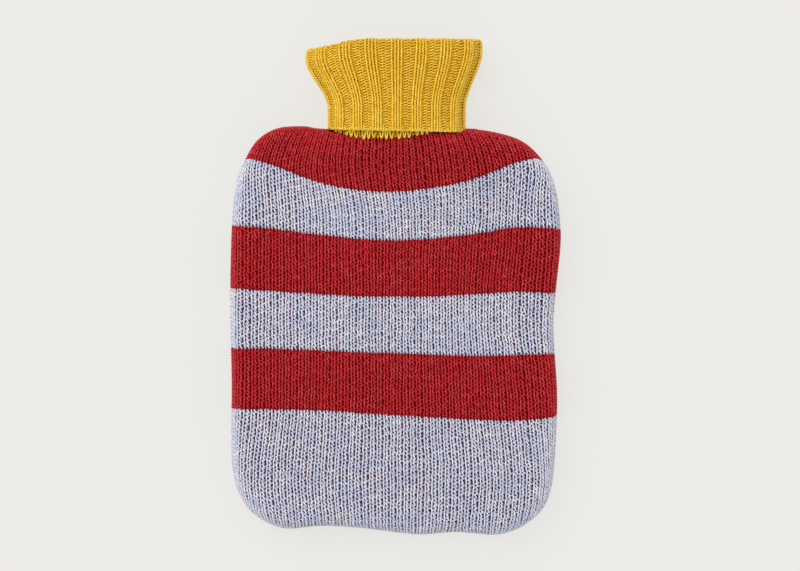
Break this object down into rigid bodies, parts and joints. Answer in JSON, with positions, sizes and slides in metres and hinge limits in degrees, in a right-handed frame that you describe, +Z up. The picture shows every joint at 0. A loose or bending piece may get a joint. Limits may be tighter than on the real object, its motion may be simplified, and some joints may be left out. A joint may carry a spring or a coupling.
{
  "type": "knitted hot water bottle cover",
  "caption": "Hollow knitted cover for a hot water bottle, lying on its back, with striped front and back panels and a ribbed neck folded over outward.",
  "frame": {"origin": "on the surface under the middle of the whole cover's box, as it lies on its back", "axes": "+Z up, out of the cover's front; +Y along the body towards the neck; +X to the right seen from the front"},
  "size_m": [0.2181, 0.3276, 0.0407],
  "materials": {
    "crimson_knit": "matt knitted yarn, the crimson stripes of both panels",
    "pale_blue_knit": "matt marled knitted yarn, the pale blue stripes of both panels",
    "mustard_rib": "matt knitted yarn in a two-and-two rib"
  },
  "bodies": {
    "root": {"front_panel": "crimson_knit", "back_panel": "pale_blue_knit", "rib_neck": "mustard_rib"}
  },
  "joints": []
}
